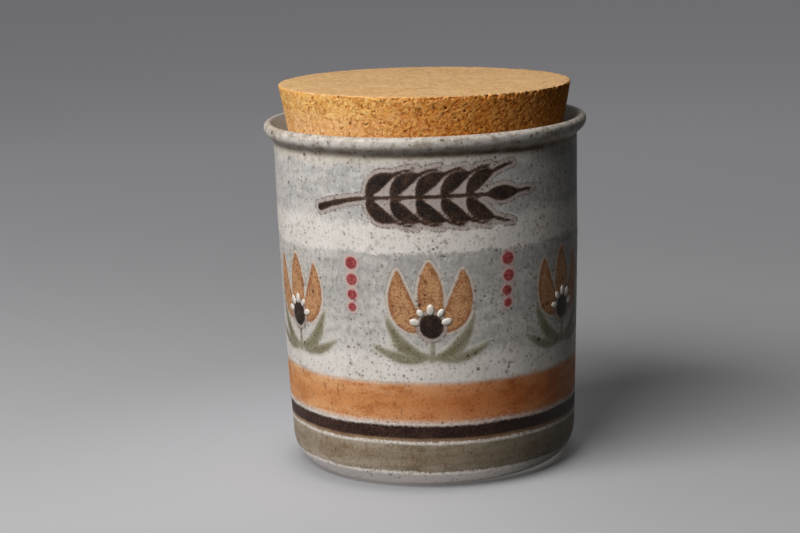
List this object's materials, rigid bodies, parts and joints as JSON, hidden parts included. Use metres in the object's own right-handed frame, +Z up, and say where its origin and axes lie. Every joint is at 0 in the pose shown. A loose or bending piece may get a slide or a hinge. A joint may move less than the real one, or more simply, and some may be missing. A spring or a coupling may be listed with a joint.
{
  "type": "flour canister",
  "caption": "Round stoneware kitchen canister with a flared, rolled rim, closed by a tapered cork stopper that lifts out; speckled glaze with painted bands.",
  "frame": {"origin": "on the surface that the jar stands on, at the middle of its foot ring", "axes": "+Z up along the jar's axis, the way the stopper lifts; -Y towards the pictured front"},
  "size_m": [0.14, 0.14, 0.166],
  "materials": {
    "glaze": "satin speckled stoneware glaze with brushed bands",
    "cork": "pressed cork granules, sanded top, cut side"
  },
  "bodies": {
    "jar": {"jar": "glaze"},
    "stopper": {"cork_stopper": "cork"}
  },
  "joints": [
    {"name": "stopper_lift", "type": "slide", "parent": "jar", "child": "stopper", "axis": [0, 0, 1], "range_m": [0, 0.12]}
  ]
}
